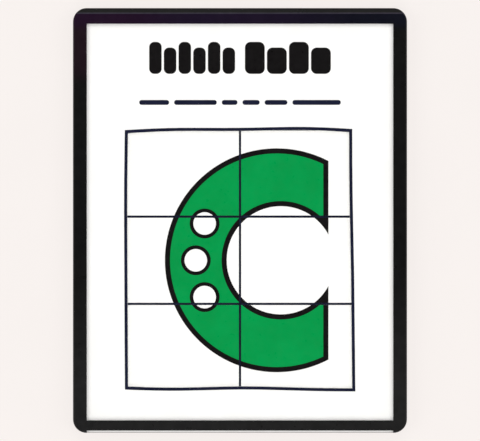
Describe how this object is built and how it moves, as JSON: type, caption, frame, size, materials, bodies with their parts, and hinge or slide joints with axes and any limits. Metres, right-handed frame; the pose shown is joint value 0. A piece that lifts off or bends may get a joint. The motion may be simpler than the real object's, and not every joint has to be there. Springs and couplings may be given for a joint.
{
  "type": "sliding tile puzzle",
  "caption": "Flat sliding tile puzzle: black frame, white face board that slides out, and picture tiles that slide in interlocked columns behind its window.",
  "frame": {"origin": "centre of the outline, on the plane of the four rubber feet", "axes": "+X to the right, +Y towards the header end, +Z out of the face"},
  "size_m": [0.2352, 0.2992, 0.0145],
  "materials": {
    "frame_abs": "moulded ABS, satin black with a rolled outer edge",
    "cover_abs": "moulded ABS, fine spark-eroded texture",
    "screw_steel": "zinc-plated steel, countersunk",
    "foot_rubber": "soft black rubber",
    "bed_board": "smooth dark sheet that the tiles slide on",
    "rail_abs": "extruded ABS strip",
    "board_white": "white polystyrene sheet, low sheen",
    "navy_vinyl": "navy vinyl film",
    "black_vinyl": "black vinyl film",
    "green_vinyl": "green vinyl film",
    "tile_abs": "moulded navy ABS",
    "card_laminate": "white card under a clear laminate"
  },
  "bodies": {
    "frame": {"bezel_frame": "frame_abs", "rear_cover": "cover_abs", "cover_screws": "screw_steel", "tile_bed": "bed_board", "left_guide_rail": "rail_abs", "right_guide_rail": "rail_abs", "top_guide_rail": "rail_abs", "bottom_guide_rail": "rail_abs", "foot_front_left": "foot_rubber", "foot_front_right": "foot_rubber", "foot_back_left": "foot_rubber", "foot_back_right": "foot_rubber"},
    "face_board": {"face_board": "board_white", "window_trim": "navy_vinyl", "header_bars": "black_vinyl", "header_dashes": "navy_vinyl"},
    "tile_bottom_left": {"tile_block_bottom_left": "tile_abs", "picture_card_bottom_left": "card_laminate", "green_vinyl_bottom_left": "green_vinyl", "black_vinyl_bottom_left": "black_vinyl"},
    "tile_bottom_right": {"tile_block_bottom_right": "tile_abs", "picture_card_bottom_right": "card_laminate", "green_vinyl_bottom_right": "green_vinyl", "black_vinyl_bottom_right": "black_vinyl"},
    "tile_middle_left": {"tile_block_middle_left": "tile_abs", "picture_card_middle_left": "card_laminate", "green_vinyl_middle_left": "green_vinyl", "black_vinyl_middle_left": "black_vinyl"},
    "tile_middle_right": {"tile_block_middle_right": "tile_abs", "picture_card_middle_right": "card_laminate", "black_vinyl_middle_right": "black_vinyl"},
    "tile_top_left": {"tile_block_top_left": "tile_abs", "picture_card_top_left": "card_laminate", "green_vinyl_top_left": "green_vinyl", "black_vinyl_top_left": "black_vinyl"},
    "tile_top_right": {"tile_block_top_right": "tile_abs", "picture_card_top_right": "card_laminate", "green_vinyl_top_right": "green_vinyl", "black_vinyl_top_right": "black_vinyl"}
  },
  "joints": [
    {"name": "face_board_slide", "type": "slide", "parent": "frame", "child": "face_board", "axis": [0, -1, 0], "range_m": [0, 0.265]},
    {"name": "bottom_left_slide", "type": "slide", "parent": "frame", "child": "tile_bottom_left", "axis": [0, 1, 0], "range_m": [0, 0.0616]},
    {"name": "bottom_right_slide", "type": "slide", "parent": "frame", "child": "tile_bottom_right", "axis": [0, 1, 0], "range_m": [0, 0.0616]},
    {"name": "middle_left_slide", "type": "slide", "parent": "frame", "child": "tile_middle_left", "axis": [0, 1, 0], "range_m": [0, 0.0616]},
    {"name": "middle_right_slide", "type": "slide", "parent": "frame", "child": "tile_middle_right", "axis": [0, 1, 0], "range_m": [0, 0.0616]},
    {"name": "top_left_slide", "type": "slide", "parent": "frame", "child": "tile_top_left", "axis": [0, 1, 0], "range_m": [0, 0.0616]},
    {"name": "top_right_slide", "type": "slide", "parent": "frame", "child": "tile_top_right", "axis": [0, 1, 0], "range_m": [0, 0.0616]}
  ],
  "couplings": [
    {"joint": "middle_left_slide", "follows": "bottom_left_slide", "ratio": 1},
    {"joint": "middle_right_slide", "follows": "bottom_right_slide", "ratio": 1},
    {"joint": "top_left_slide", "follows": "bottom_left_slide", "ratio": 1},
    {"joint": "top_right_slide", "follows": "bottom_right_slide", "ratio": 1}
  ]
}
